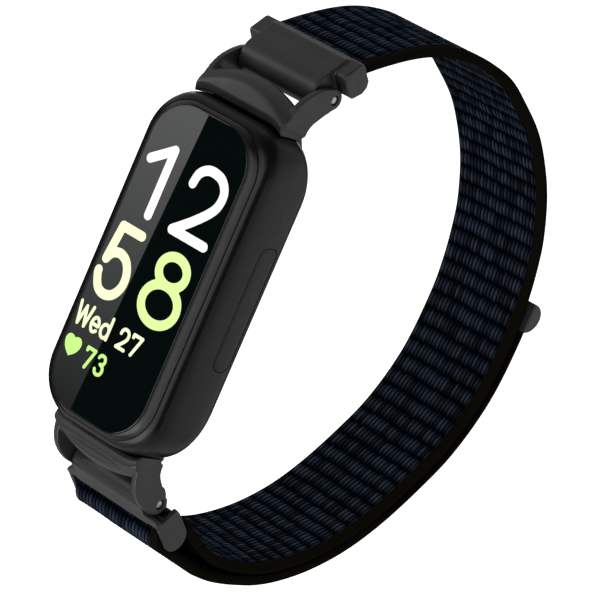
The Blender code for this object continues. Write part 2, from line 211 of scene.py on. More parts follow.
def fuse(name, pieces, cell, rounds):
    """Turns overlapping plain solids into one skin with soft inside and outside corners."""
    work = bmesh.new()
    for piece in pieces:
        work.from_mesh(piece.data)
        bpy.data.objects.remove(piece)
    mesh = bpy.data.meshes.new(name)
    work.to_mesh(mesh)
    work.free()
    obj = bpy.data.objects.new(name, mesh)
    bpy.context.scene.collection.objects.link(obj)
    mod = obj.modifiers.new("skin", "REMESH")
    mod.mode, mod.voxel_size, mod.adaptivity = "VOXEL", cell, 0.0
    mod = obj.modifiers.new("soften", "SMOOTH")
    mod.factor, mod.iterations = 0.5, rounds
    return baked(obj)


def metres(d, z):
    """Place on the middle plane, in metres."""
    return (0.0, (d + RIM) / 1000, z / 1000)


def shown(obj, look, body, nodes, sharp):
    """Finishes a piece: look, size in metres, edges sharper than `sharp` degrees, nodes, body. A
    piece with no body is left unattached."""
    obj.data.transform(Matrix.Scale(0.001, 4))
    obj.data.materials.clear()
    obj.data.materials.append(look.mat)
    obj.data.shade_smooth()
    obj.data.set_sharp_from_angle(angle=math.radians(sharp))
    if nodes:
        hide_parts(*nodes)
    if body:
        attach(obj, body)
    return obj


# ------------------------------------------------------------------ materials
class Look:
    """One material and short ways to add nodes to it."""

    def __init__(self, name, colour, rough, metal=0.0, **sockets):
        self.mat = bpy.data.materials.new(name)
        self.mat.use_nodes = True
        self.tree = self.mat.node_tree
        self.bsdf = self.tree.nodes["Principled BSDF"]
        self.bsdf.inputs["Base Color"].default_value = (*colour, 1.0)
        self.bsdf.inputs["Roughness"].default_value = rough
        self.bsdf.inputs["Metallic"].default_value = metal
        for key, value in sockets.items():
            self.bsdf.inputs[key.replace("_", " ")].default_value = value

    def node(self, kind, **props):
        made = self.tree.nodes.new("ShaderNode" + kind)
        for key, value in props.items():
            setattr(made, key, value)
        return made

    def link(self, a, b):
        self.tree.links.new(a, b)

    def math(self, operation, a, b=0.5, clamp=False):
        made = self.node("Math", operation=operation, use_clamp=clamp)
        for socket, value in zip(made.inputs, (a, b)):
            if hasattr(value, "is_output"):
                self.link(value, socket)
            else:
                socket.default_value = value
        return made.outputs[0]

    def noise(self, scale, detail=3.0, stretch=None, coords="Object"):
        place = self.node("TexCoord").outputs[coords]
        if stretch:
            mapping = self.node("Mapping")
            mapping.inputs["Scale"].default_value = stretch
            self.link(place, mapping.inputs["Vector"])
            place = mapping.outputs[0]
        made = self.node("TexNoise")
        made.inputs["Scale"].default_value = scale
        made.inputs["Detail"].default_value = detail
        self.link(place, made.inputs["Vector"])
        return made.outputs["Fac"]

    def spread(self, factor, low, high):
        """Maps 0.3..0.7 of a factor onto low..high."""
        made = self.node("MapRange")
        made.inputs["From Min"].default_value, made.inputs["From Max"].default_value = 0.3, 0.7
        made.inputs["To Min"].default_value, made.inputs["To Max"].default_value = low, high
        self.link(factor, made.inputs["Value"])
        return made.outputs[0]

    def mix(self, factor):
        """Colour mix: its two colour inputs, then its output."""
        made = self.node("Mix", data_type="RGBA")
        self.link(factor, made.inputs[0])
        low, high = [s for s in made.inputs if s.type == "RGBA"]
        return low, high, next(s for s in made.outputs if s.type == "RGBA")

    def ramp(self, factor, dark, light, target="Base Color"):
        """Colour from dark to light, linked to a socket of the surface if one is named."""
        low, high, out = self.mix(factor)
        low.default_value, high.default_value = (*dark, 1.0), (*light, 1.0)
        if target:
            self.link(out, self.bsdf.inputs[target])
        return out

    def bump(self, height, distance, strength=1.0):
        made = self.node("Bump")
        made.inputs["Strength"].default_value = strength
        made.inputs["Distance"].default_value = distance
        self.link(height, made.inputs["Height"])
        self.link(made.outputs[0], self.bsdf.inputs["Normal"])


def scaled(colour, share):
    return tuple(c * share for c in colour)


def moulded(name, colour, rough, grain=5200, depth=1.6e-6, vary=0.25, metal=0.0, **sockets):
    """Plastic or coated metal: fine grain, faint blotches of tone, and edges rubbed a little."""
    look = Look(name, colour, rough, metal, **sockets)
    blotch = look.noise(150, 4)
    edge = look.node("NewGeometry").outputs["Pointiness"]
    rub = look.math("MULTIPLY", look.math("SUBTRACT", edge, 0.52, clamp=True), 6.0, clamp=True)
    tone = look.math("MULTIPLY", look.spread(blotch, 0.0, 1.0), 0.6)
    tone = look.math("ADD", tone, rub, clamp=True)
    look.ramp(tone, scaled(colour, 1 - vary), scaled(colour, 1 + vary))
    look.link(look.spread(look.noise(700, 5), rough - 0.05, rough + 0.05),
              look.bsdf.inputs["Roughness"])
    look.bump(look.noise(grain, 2), depth)
    return look


def turned(name, colour, rough, stretch):
    """Bright metal with fine lathe or rolling marks."""
    look = Look(name, colour, rough, 1.0)
    lines = look.noise(900, 3, stretch)
    look.ramp(look.spread(lines, 0, 1), scaled(colour, 0.82), scaled(colour, 1.1))
    look.link(look.spread(lines, rough - 0.06, rough + 0.1), look.bsdf.inputs["Roughness"])
    look.bump(lines, 2e-6)
    return look


def polished(name, colour, grain, rough):
    """Dark glass with faint smears."""
    look = Look(name, colour, rough[0])
    look.link(look.spread(look.noise(*grain), *rough), look.bsdf.inputs["Roughness"])
    return look


def woven():
    """Ribbed webbing: yarns that lie along the band, tones that differ from yarn to yarn, and
    painted shade that darkens the hollows between ribs and between yarns.
    """
    look = Look("webbing", (0.012, 0.014, 0.024), 0.7, Specular_IOR_Level=0.0)
    parts = look.node("SeparateXYZ")
    look.link(look.node("TexCoord").outputs["UV"], parts.inputs[0])
    across, along = parts.outputs[0], look.math("DIVIDE", parts.outputs[1], RIB)
    rib = look.math("ABSOLUTE", look.math("SINE", look.math("MULTIPLY", along, math.pi)))
    lane = look.math("DIVIDE", across, YARN)
    yarn = look.math("ABSOLUTE", look.math("SINE", look.math("MULTIPLY", lane, math.pi)))
    # painted shade: this factor falls to nought in the hollows between ribs and between yarns
    crest = look.math("MULTIPLY", look.math("POWER", rib, 1.4), look.math("POWER", yarn, 1.5))
    cell = look.node("CombineXYZ")
    look.link(look.math("FLOOR", lane), cell.inputs[0])
    look.link(look.math("FLOOR", along), cell.inputs[1])
    lot = look.node("TexWhiteNoise", noise_dimensions="2D")
    look.link(cell.outputs[0], lot.inputs["Vector"])
    share = look.math("ADD", look.math("MULTIPLY", lot.outputs["Value"], 1.1), 0.3)
    yarn_tone_and_valley_shade = look.math("MULTIPLY", crest, share)
    fibre = look.noise(9.0, 3, (1.0, 0.22, 1.0), "UV")
    yarn_tone_and_valley_shade = look.math("MULTIPLY", yarn_tone_and_valley_shade, look.spread(fibre, 0.7, 1.3), clamp=True)
    # the dark end is painted shade in the hollows, the light end is the yarn's crest
    cloth_with_painted_shade = look.ramp(yarn_tone_and_valley_shade, (0.0006, 0.0009, 0.0024), (0.047, 0.064, 0.096), None)
    middle, half = (WOVEN[0] + WOVEN[1]) / 2, (WOVEN[1] - WOVEN[0]) / 2
    offset = look.math("ABSOLUTE", look.math("SUBTRACT", across, middle))
    inner, outer, colour = look.mix(look.math("GREATER_THAN", offset, half))
    tight = look.noise(26.0, 3, (1.0, 0.5, 1.0), "UV")
    selvage = look.ramp(look.spread(tight, 0, 1), (0.005, 0.0045, 0.0031),
                        (0.0125, 0.0108, 0.0075), None)
    look.link(cloth_with_painted_shade, inner)
    look.link(selvage, outer)
    look.link(colour, look.bsdf.inputs["Base Color"])
    look.link(look.spread(fibre, 0.68, 0.88), look.bsdf.inputs["Roughness"])
    look.bump(look.noise(16.0, 4, (1.0, 0.3, 1.0), "UV"), 2.5e-5, 0.6)
    return look


def lit(name, colour):
    """Glowing figure, with faint rows so that it isn't one flat tone."""
    look = Look(name, scaled(colour, 0.2), 0.5, Emission_Strength=1.0)
    wave = look.node("TexWave", wave_type="BANDS", bands_direction="Z")
    wave.inputs["Scale"].default_value = 1600
    look.link(look.node("TexCoord").outputs["Object"], wave.inputs["Vector"])
    look.ramp(wave.outputs["Fac"], scaled(colour, 0.93), colour, "Emission Color")
    return look


CASE = moulded("case_plastic", (0.007, 0.007, 0.0072), 0.28, Specular_IOR_Level=0.35)
KEY = moulded("key_plastic", (0.0072, 0.0072, 0.0074), 0.28, Specular_IOR_Level=0.35)
REAR = moulded("rear_plastic", (0.012, 0.012, 0.0125), 0.3)
RING = moulded("anodised_ring", (0.012, 0.012, 0.0124), 0.3, 7000, 1e-6, 0.15, 0.2)
METAL = moulded("coated_metal", (0.029, 0.029, 0.0292), 0.4, 6400, 1.4e-6, 0.18,
                Specular_IOR_Level=0.68)
GLASS = polished("display_glass", (0.0026, 0.0052, 0.0051), (90, 4), (0.0, 0.012))
WINDOW = polished("sensor_glass", (0.004, 0.004, 0.005), (120, 3), (0.03, 0.09))
STEEL = turned("steel", (0.62, 0.62, 0.63), 0.26, (1, 8, 8))
GOLD = turned("gold_plate", (0.83, 0.62, 0.26), 0.24, (6, 1, 6))
BRASS = turned("sintered_brass", (0.55, 0.45, 0.25), 0.38, (2, 2, 2))
CELL = turned("cell_foil", (0.45, 0.45, 0.47), 0.34, (1, 1, 5))
BOARD = moulded("solder_mask", (0.012, 0.085, 0.05), 0.36)
RUBBER = moulded("seal_rubber", (0.012, 0.012, 0.012), 0.75)
PANEL = moulded("panel_black", (0.01, 0.012, 0.012), 0.25)
PART = moulded("moulded_part", (0.022, 0.022, 0.024), 0.45)
WEAVE = woven()
HOOK = moulded("hook_tape", (0.010, 0.010, 0.012), 0.85, 3000, 9e-5, 0.5)
WHITE = lit("lit_white", (1.0, 1.0, 1.0))
LIME = lit("lit_lime", (0.72, 0.98, 0.34))
PALE = lit("lit_pale", (0.90, 1.0, 0.62))
GREEN = lit("lit_green", (0.55, 0.96, 0.24))


# ------------------------------------------------------------------ tracker
# the case's outside: depth, half width, half length, corner radius
SHELL = [(-0.02, 8.33, 18.86, 5.47), (0.12, 8.52, 19.05, 5.6), (0.42, 8.80, 19.3, 5.65),
         (0.9, 9.02, 19.5, 5.6), (2.4, 9.25, 19.65, 5.0), (5.2, 9.25, 19.65, 4.6),
         (7.0, 9.1, 19.25, 4.5), (8.4, 8.75, 18.3, 4.7), (9.4, 8.15, 17.1, 5.0),
         (9.95, 7.4, 16.0, 5.2)]
WALL = spline(SHELL, 6)


def wall_at(depth):
    """Half width of the tracker's side at one depth."""
    return float(np.interp(depth, [p[0] for p in WALL], [p[1] for p in WALL]))


def pad_line(grow):
    """Outline of a side key as (d, z), grown by a margin."""
    radius = PAD_R + grow
    return [(PAD_MID + u, v) for u, v in rounded(0.4 + radius, 6.1 + radius, radius, 12)]


def build_case():
    outer = [outline(w, l, r, d) for d, w, l, r in WALL]
    inner = [outline(6.95, 15.45, 4.9, 9.95), outline(7.6, 15.6, 4.4, 9.0),
             outline(7.6, 15.6, 4.4, 1.75), outline(*RECESS, 1.75), outline(*RECESS, 0.0)]
    shell = hollow_loft("case", outer + inner)
    for sign in (1, -1):
        cut(shell, block("socket", (-6.2, 6.2), (5.0, 12.0), sorted((sign * 16.7, sign * 25.0))),
            prism("slot", pad_line(0.05), sign * 7.6, sign * 12.0))
    shown(shell, CASE, "tracker", ["case_shell"], 38)


def build_keys():
    """Pads that follow the curve of the wall, each with a hairline of air round it."""
    inner_face = 7.7
    for sign, side in ((1, "right"), (-1, "left")):
        rows = [[(sign * inner_face, d, z) for d, z in pad_line(0.0)]]
        for inset, low in ((0.0, 0.1), (0.04, 0.03), (0.12, 0.0), (0.5, -0.02), (1.1, -0.03)):
            rows.append([(sign * (wall_at(d) - low), d, z) for d, z in pad_line(-inset)])
        shown(loft("side_key_pad_" + side, rows), KEY, "side_key_" + side,
              ["side_key_" + side], 38)


def dome(inset):
    """Depth of the display glass at a distance in from its edge."""
    t = min(max(inset / 0.2, 0.0), 1.0)
    return -0.70 - 0.1 * (1 - (1 - t) ** 2) ** 0.5


def edge_distance(x, z):
    """How far a point of the display lies in from its edge."""
    half_w, half_l, radius = DISPLAY
    u, v = abs(x) - half_w + radius, abs(z) - half_l + radius
    return -(math.hypot(max(u, 0), max(v, 0)) + min(max(u, v), 0) - radius)


def build_front():
    rings = [outline(*DISPLAY, 1.0)]
    for inset in (0.0, 0.01, 0.03, 0.06, 0.1, 0.14, 0.18, 0.2, 0.24, 0.6, 3.0):
        rings.append(outline(*[size - inset for size in DISPLAY], dome(inset)))
    shown(loft("display_pane", rings), GLASS, "tracker", ["cover_glass"], 24)
    ring = [(8.24, 1.05), (8.24, 0.02), (8.22, -0.02), (8.12, -0.11), (7.95, -0.27), (7.75, -0.44),
            (7.55, -0.58), (7.35, -0.68), (7.25, -0.71), (7.205, -0.7), (7.205, 1.05)]
    rings = [outline(w, 18.77 + (w - 8.24) * 0.42, 5.37 + (w - 8.24) * 0.45, d) for w, d in ring]
    shown(hollow_loft("rim_ring", rings), RING, "tracker", ["bezel_ring"], 50)


def build_rear():
    pads = (-2.2, 2.2)       # charging contacts, from the middle
    pads_z = -11.0
    rings = [outline(6.6, 15.1, 4.6, 9.3), outline(6.6, 15.1, 4.6, 10.0),
             outline(7.05, 15.55, 5.0, 10.1), outline(7.15, 15.65, 5.05, 10.25)]
    for t in range(1, 8):
        a = math.radians(90 * t / 7)
        inset = 1.25 * (1 - math.cos(a))
        rings.append(outline(7.15 - inset, 15.65 - inset, 5.05 - inset * 0.7,
                             10.25 + 0.5 * math.sin(a)))
    cover = loft("rear_lid", rings)
    cut(cover, loft("hole", [outline(4.2, 5.2, 3.2, 8.0), outline(4.2, 5.2, 3.2, 12.0)]))
    for x in pads:
        cut(cover, disc("hole", x, pads_z, [(8.0, 0.95), (12.0, 0.95)]))
    shown(cover, REAR, "tracker", ["rear_cover"], 30)
    for side, x in zip("ab", pads):
        steps = [(9.35, 0.75), (10.66, 0.75), (10.74, 0.72), (10.80, 0.62), (10.82, 0.45)]
        shown(disc("contact_pad_" + side, x, pads_z, steps), GOLD, "tracker",
              ["charge_contact_" + side], 50)
    rings = [outline(3.95, 4.95, 3.0, 9.7), outline(3.95, 4.95, 3.0, 10.75)]
    for t in range(1, 11):
        a = math.radians(90 * t / 10)
        inset = 1.9 * (1 - math.cos(a))
        rings.append(outline(3.95 - inset, 4.95 - inset, 3.0 - inset * 0.9,
                             10.78 + 0.57 * math.sin(a)))
    shown(loft("sensor_lens", rings), WINDOW, "tracker", ["sensor_window"], 50)


# ------------------------------------------------------------------ lit figures
def spread_of(paths, xs, zs):
    """Distance of every grid point from the nearest path."""
    gx, gz = np.meshgrid(xs, zs, indexing="ij")
    best = np.full(gx.shape, 99.0)
    for path in paths:
        for (ax, az), (bx, bz) in zip(path, path[1:]):
            u, v = bx - ax, bz - az
            t = np.clip(((gx - ax) * u + (gz - az) * v) / max(u * u + v * v, 1e-9), 0, 1)
            best = np.minimum(best, np.hypot(gx - ax - t * u, gz - az - t * v))
    return best


def ink(name, field, xs, zs, look):
    """A thin sheet on the glass wherever the field is below zero, its edge cut through cells."""
    points, index, faces = [], {}, []

    def corner(i, j):
        key = (i, j)
        if key not in index:
            index[key] = len(points)
            points.append((xs[i], zs[j]))
        return index[key]

    def crossing(a, b):
        key = (min(a, b), max(a, b))
        if key not in index:
            fa, fb = field[key[0]], field[key[1]]
            t = min(max(fa / (fa - fb), 0.02), 0.98)
            index[key] = len(points)
            points.append((xs[key[0][0]] * (1 - t) + xs[key[1][0]] * t,
                           zs[key[0][1]] * (1 - t) + zs[key[1][1]] * t))
        return index[key]

    for i in range(len(xs) - 1):
        for j in range(len(zs) - 1):
            ring = [(i, j), (i + 1, j), (i + 1, j + 1), (i, j + 1)]
            if field[i:i + 2, j:j + 2].min() >= 0:
                continue
            face = []
            for a, b in zip(ring, ring[1:] + ring[:1]):
                if field[a] < 0:
                    face.append(corner(*a))
                if (field[a] < 0) != (field[b] < 0):
                    face.append(crossing(a, b))
            if len(face) > 2:
                faces.append(tuple(face))
    base = [(x, dome(edge_distance(x, z)), z) for x, z in points]
    count = len(base)
    edges = {}
    for face in faces:
        for a, b in zip(face, face[1:] + face[:1]):
            edges[(a, b)] = True
    walls = [(a, b, b + count, a + count) for a, b in edges if (b, a) not in edges]
    solid = [(x, d - 0.012, z) for x, d, z in base] + [(x, d + 0.02, z) for x, d, z in base]
    faces = faces + [tuple(k + count for k in face[::-1]) for face in faces] + walls
    shown(raw(name, solid, faces), look, "tracker", [], 60)


def figure(name, paths, half, look, cell):
    """Strokes of one half width, drawn on a grid of square cells."""
    flat = np.array([p for path in paths for p in path])
    low, high = flat.min(0) - half - 2 * cell, flat.max(0) + half + 2 * cell
    xs, zs = np.arange(low[0], high[0], cell), np.arange(low[1], high[1], cell)
    ink(name, spread_of(paths, xs, zs) - half, xs, zs, look)


def arc(cx, cz, rx, rz, start, end, count=28):
    return [(cx + rx * math.cos(math.radians(start + (end - start) * k / count)),
             cz + rz * math.sin(math.radians(start + (end - start) * k / count)))
            for k in range(count + 1)]


def curve(*points):
    return [tuple(p) for p in spline(points, 6)]


def glyph(which, x, z, w, h):
    """Strokes of one character in a box whose lower left corner is (x, z)."""
    shapes = {
        "1": [[(0.0, 0.74), (0.78, 1.0), (0.78, 0.0)]],
        "2": [curve((0.04, 0.72), (0.10, 0.88), (0.28, 0.98), (0.50, 1.0), (0.75, 0.96),
                    (0.93, 0.83), (0.95, 0.66), (0.83, 0.49), (0.45, 0.24), (0.0, 0.0)),
              [(0.0, 0.0), (1.0, 0.0)]],
        "3": [curve((0.05, 0.84), (0.22, 0.97), (0.48, 1.0), (0.76, 0.95), (0.9, 0.77), (0.78, 0.6),
                    (0.45, 0.545)),
              curve((0.45, 0.545), (0.82, 0.47), (0.97, 0.27), (0.82, 0.07), (0.47, 0.0),
                    (0.15, 0.06), (0.0, 0.21))],
        "5": [[(0.92, 1.0), (0.2, 1.0), (0.08, 0.47)],
              curve((0.08, 0.47), (0.22, 0.585), (0.48, 0.63), (0.76, 0.57), (0.94, 0.41),
                    (0.95, 0.22), (0.77, 0.06), (0.48, 0.0), (0.2, 0.05), (0.03, 0.2),
                    (0.0, 0.27))],
        "7": [[(0.0, 0.86), (0.0, 1.0), (1.0, 1.0)], [(1.0, 1.0), (0.38, 0.0)]],
        "8": [arc(0.5, 0.785, 0.385, 0.215, 0, 360, 48), arc(0.5, 0.285, 0.5, 0.285, 0, 360, 48)],
        "W": [[(0.0, 1.0), (0.24, 0.0), (0.5, 0.9), (0.76, 0.0), (1.0, 1.0)]],
        "e": [curve((0.04, 0.5), (0.5, 0.5), (0.98, 0.5), (0.93, 0.76), (0.72, 0.95), (0.5, 1.0),
                    (0.22, 0.9), (0.03, 0.6), (0.06, 0.32), (0.25, 0.07), (0.55, 0.0),
                    (0.9, 0.15))],
        "d": [arc(0.46, 0.31, 0.46, 0.31, 0, 360, 32), [(0.92, 1.0), (0.92, 0.0)]],
    }
    return [[(x + u * w, z + v * h) for u, v in path] for path in shapes[which]]


def build_figures():
    bold, fine = 0.56, 0.2   # half widths of the strokes
    figure("figure_hours", glyph("1", -5.75, 5.2, 3.6, 7.7) + glyph("2", 0.85, 5.2, 5.0, 7.7),
           bold, WHITE, 0.1)
    figure("figure_minute_tens", glyph("5", -6.35, -4.95, 4.15, 7.75), bold, PALE, 0.1)
    figure("figure_minutes", glyph("8", 0.75, -5.0, 5.2, 7.75), bold, LIME, 0.1)
    day = (glyph("W", -6.75, -9.25, 2.0, 2.45) + glyph("e", -4.35, -9.25, 1.1, 1.65)
           + glyph("d", -2.75, -9.25, 1.25, 2.45) + glyph("2", 0.05, -9.25, 1.25, 2.2)
           + glyph("7", 1.9, -9.25, 1.3, 2.2))
    figure("figure_date", day, fine, PALE, 0.05)
    pulse = glyph("7", -3.35, -13.15, 1.2, 2.2) + glyph("3", -1.45, -13.15, 1.15, 2.2)
    figure("figure_pulse", pulse, fine, GREEN, 0.05)
    xs, zs = np.arange(-7.3, -4.0, 0.05), np.arange(-13.6, -10.2, 0.05)
    gx, gz = np.meshgrid((xs + 5.62) / 1.28, (zs + 11.95) / 1.28, indexing="ij")
    heart = (gx ** 2 + gz ** 2 - 0.72) ** 3 - 0.9 * gx ** 2 * gz ** 3
    ink("figure_heart", heart, xs, zs, GREEN)


# ------------------------------------------------------------------ connectors
def case_end(x):
    """Height at which the case ends, at one place across it."""
    over = max(abs(x) - 4.4, 0.0)
    return 15.05 + math.sqrt(max(4.6 ** 2 - over ** 2, 0.0))


# side view of a connector arm (d, |z|)
ARM = [(3.0, 20.3), (3.2, 21.6), (3.7, 22.8), (4.5, 23.85), (5.7, 24.8), (7.1, 25.5),
       (8.4, 25.8), (9.3, 25.8), (10.05, 25.4), (10.38, 24.65), (10.15, 23.95), (9.6, 23.5),
       (8.25, 22.3), (7.1, 21.0), (6.8, 19.75), (5.6, 19.95), (4.2, 20.1)]


def pin_hole(sign):
    return rod("hole", (PIN[0], sign * PIN[1]), [(-9, PIN_HOLE), (9, PIN_HOLE)])


def build_yoke(end, sign):
    """Saddle on the case's end, with two arms to the hinge pin."""
    rings = []
    for k in range(47):
        x = -6.75 + 13.5 * k / 46
        base = case_end(x) + 0.26
        if sign > 0:
            top = 23.78 - 0.036 * x * x
            front = [(2.45, base + 0.9), (2.72, top - 1.2)]
        else:
            top = 23.1 - 0.03 * x * x
            front = [(2.45, base + 0.5), (2.42, base + 1.25), (2.95, base + 1.75),
                     (2.85, top - 0.85)]
        crest = spline([*front, (3.5, top - 0.3), (4.5, top),
                        (5.5, top - 0.5), (6.2, top - 1.9), (6.9, base - 0.2)], 5)
        section = [(2.75, base), *[tuple(p) for p in crest], (5.9, base - 0.05), (4.7, base)]
        rings.append([(x, d, sign * z) for d, z in section])
    pieces = [loft("saddle", rings)]
    for x0, x1 in ((-ARM_OUT, -ARM_IN), (ARM_IN, ARM_OUT)):
        arm = [tuple(p) for p in spline(ARM, 4, True)]
        pieces.append(prism("arm", flip(arm, sign), x0, x1))
    tongue = [(5.3, 20.2), (5.3, 17.1), (8.4, 17.1), (8.4, 18.5), (7.6, 19.5), (6.5, 20.4)]
    pieces.append(prism("tongue", flip(tongue, sign), -5.9, 5.9))
    yoke = fuse(end + "_saddle", pieces, 0.1, 6)
    pin, bore = (PIN[0], sign * PIN[1]), (BORE[0], sign * BORE[1])
    z = sorted((sign * (BORE[1] - 0.5), sign * (BORE[1] + 0.5)))
    cut(yoke, pin_hole(sign), rod("hole", bore, [(-9, 0.78), (9, 0.78)]),
        block("hole", (2.2, 4.9), (BORE[0], 9.5), z))
    shown(yoke, METAL, "tracker", [end + "_yoke"], 55)
    steps = [(-6.70, 0.30), (-6.67, 0.42), (-6.60, 0.50), (-6.5, 0.54)]
    steps += [(-x, r) for x, r in steps[::-1]]
    shown(rod(end + "_pin", pin, steps), STEEL, "tracker", [end + "_hinge_pin"], 50)


def build_release(end, sign):
    """Sprung bar that locks a connector to the case: bar, lever, and a coil."""
    bore = (BORE[0], sign * BORE[1])
    tube = rod(end + "_bar", bore, [(-6.85, 0.30), (-6.79, 0.36), (-5.8, 0.36), (-5.8, 0.62),
                                    (-5.72, 0.68), (1.2, 0.68)])
    cut(tube, rod("bore", bore, [(-1.5, 0.5), (3.0, 0.5)]))
    shown(tube, STEEL, "tracker", [end + "_spring_bar"], 40)
    slide = rod(end + "_lever", bore, [(2.3, 0.66), (5.05, 0.66), (5.1, 0.6), (5.1, 0.36),
                                       (6.79, 0.36), (6.85, 0.3)])
    z = sorted((sign * (BORE[1] - 0.36), sign * (BORE[1] + 0.36)))
    combine(slide, bevelled(block("knob", (3.5, 4.5), (BORE[0], 9.1), z), 0.12, 50, 2), "UNION")
    shown(slide, STEEL, end + "_release", [end + "_release_slide"], 40)
    steps, x0, x1, coil_r, wire_r = 80, -1.3, 2.2, 0.34, 0.085
    rings = []
    for k in range(steps + 1):
        a, x = math.radians(22.5 * k), x0 + (x1 - x0) * k / steps
        rings.append([(x + v, bore[0] + r * math.cos(a), bore[1] + r * math.sin(a))
                      for r, v in circle(coil_r, 0.0, wire_r, 8)])
    coil = shown(loft(end + "_coil", rings), STEEL, None, [end + "_release_spring"], 60)
    place = metres(*bore)[1:]
    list(place)
    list(place)
    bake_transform(coil)


def build_top_block():
    """Solid holder that grips the straight end of the webbing."""
    narrow = spline([(6.9, 23.5), (6.5, 24.4), (6.42, 25.4), (6.85, 26.4), (7.6, 27.2),
                     (8.7, 28.22), (9.9, 29.3), (11.0, 28.0), (11.1, 26.2), (10.95, 24.9),
                     (10.5, 23.7), (9.6, 23.0), (8.2, 22.85)], 3, True)
    wide = [(8.85, 26.9), (8.45, 27.25), (8.5, 27.7), (10.05, 29.2), (10.4, 29.48), (10.75, 29.42),
            (11.2, 29.1), (12.65, 27.8), (12.75, 27.0), (12.35, 26.2), (11.1, 25.4), (10.3, 25.55)]
    holder = fuse("strap_clamp", [
        prism("narrow", [tuple(p) for p in narrow], 0.25 - ARM_IN, ARM_IN - 0.25),
        prism("wide", wide, -7.5, 7.5)], 0.1, 11)
    slot = [(10.14, 28.68), (10.76, 27.32), (13.81, 28.71), (13.19, 30.07)]
    cut(holder, prism("slot", slot, -7.05, 7.05), pin_hole(1))
    shown(holder, METAL, "top_block", ["top_strap_block"], 55)


BOT_U, BOT_N = (0.788, -0.6157), (0.6157, 0.788)
BAR = (5.4, -0.2)            # bar that the webbing folds round, by `local`


def local(u, n):
    """Place (d, z) from the bottom hinge pin: u out along the lower holder, n square to it."""
    return (PIN[0] + u * BOT_U[0] + n * BOT_N[0], -PIN[1] + u * BOT_U[1] + n * BOT_N[1])


def build_bottom_ring():
    """Slotted holder that the webbing folds round."""
    inside = ARM_IN - 0.25
    neck = [local(-0.9, -1.9), local(2.2, -1.9), local(2.3, 1.3), local(0, 1.6)]
    rings = []
    for x, u in ((-7.6, 1.75), (-7.4, 1.4), (-6.9, 1.0), (-6.2, 0.8), (6.6, 0.8), (7.3, 1.1),
                 (7.6, 1.5)):
        section = [local(u, -1.84), local(2.15, -1.84), local(2.4, -0.6), local(1.72, -0.45),
                   local(1.72, -1.1), local(u, -1.36)]
        rings.append([(x, d, z) for d, z in section])
    pieces = [rod("barrel", (PIN[0], -PIN[1]), [(-inside, 1.9), (inside, 1.9)]),
              prism("neck", neck, -inside, inside), loft("cross", rings),
              rod("bar", local(*BAR), [(-7.4, 1.0), (7.4, 1.0)])]
    for x0, x1 in ((-7.65, -7.05), (7.05, 7.65)):
        plate = [local(1.78, -1.78), local(1.78, 1.32), local(2.6, 1.5)]
        plate += [local(BAR[0] + 1.65 * math.sin(a), BAR[1] + 1.65 * math.cos(a))
                  for a in [math.radians(t) for t in range(0, 181, 8)]]
        pieces.append(prism("plate", plate, x0, x1))
    ring = fuse("strap_loop", pieces, 0.1, 4)
    cut(ring, pin_hole(-1))
    shown(ring, METAL, "bottom_ring", ["bottom_strap_ring"], 55)


# ------------------------------------------------------------------ webbing
# the inner layer's middle line (d, z), from the top holder round to the lower one
MAIN = [(15.1, 30.15), (19.0, 31.7), (22.8, 32.8), (27.0, 33.4), (31.8, 33.35), (38.6, 32.1),
        (43.8, 29.7), (48.6, 26.9), (52.5, 23.5), (55.7, 19.9), (58.4, 15.6), (59.9, 12.1),
        (61.3, 6.8), (61.8, 1.6), (61.2, -5.8), (58.7, -12.5), (55.2, -17.5), (50.2, -23.0),
        (45.0, -27.0), (38.7, -29.95), (31.7, -31.5), (24.4, -31.0), (20.4, -29.6), (17.5, -28.05)]
LAYER = 1.45                 # from the inner layer to the tail over it


def band_path():
    """Middle line of the whole webbing: out of the top clamp, round, through the ring, and back."""
    main = spline([(11.2, 28.35), (12.9, 29.13), *MAIN, (15.4, -26.75)], 6)
    centre = local(*BAR)
    r = 1.25 + STRAP_T / 2
    loop = [(centre[0] + r * math.cos(math.radians(t)), centre[1] + r * math.sin(math.radians(t)))
            for t in range(85, 251, 15)]
    back = []
    for i in range(len(main) - 2, 0, -1):
        p = main[i]
        if p[1] < 4.4 and (p[0] > 23.0 or p[1] > 0):
            u, v = main[i + 1] - main[i - 1]
            size = math.hypot(u, v)
            gap = LAYER + 0.08 * max(30.0 - p[0], 0.0)
            back.append((p[0] - v / size * gap, p[1] + u / size * gap))
    corner = spline([tuple(main[-1]), *loop, (14.6, -30.3), (17.2, -31.15), (18.5, -31.58),
                     (20.4, -32.2), back[0]], 5)
    return np.array([*main[:-1], *corner[:-1], *back])


def resampled(line, step):
    """The line at even steps: the reach of each point, and the points."""
    gap = np.hypot(*np.diff(line, axis=0).T)
    reach = np.concatenate([[0], np.cumsum(gap)])
    count = int(round(reach[-1] / step))
    at = np.linspace(0, reach[-1], count + 1)
    return at, np.stack([np.interp(at, reach, line[:, 0]), np.interp(at, reach, line[:, 1])], 1)


PATH_S, PATH = resampled(band_path(), RIB / 9)
for _ in range(3):
    PATH[1:-1] = 0.25 * PATH[:-2] + 0.5 * PATH[1:-1] + 0.25 * PATH[2:]
PATH_N = np.gradient(PATH, axis=0)
PATH_N = np.stack([-PATH_N[:, 1], PATH_N[:, 0]], 1) / np.hypot(*PATH_N.T)[:, None]


def reach_of(d, z):
    """Arc length of the path point nearest to (d, z)."""
    return float(PATH_S[np.argmin(np.hypot(PATH[:, 0] - d, PATH[:, 1] - z))])


def columns():
    """Places across the width, close together over the yarns."""
    mid = np.arange(round(WOVEN[0] / YARN * 6), round(WOVEN[1] / YARN * 6) + 1) * YARN / 6
    side = np.array([6.05, 6.3, 6.45, 6.58, 6.7, 6.79, 6.85, 6.885, 6.9])
    return np.concatenate([-side[::-1][:-2], mid, side])


def uneven(index, seed):
    """Fixed scatter between -1 and 1 for whole numbers."""
    wave = np.sin(index * 12.9898 + seed * 78.233) * 43758.5453
    return 2 * (wave - np.floor(wave)) - 1


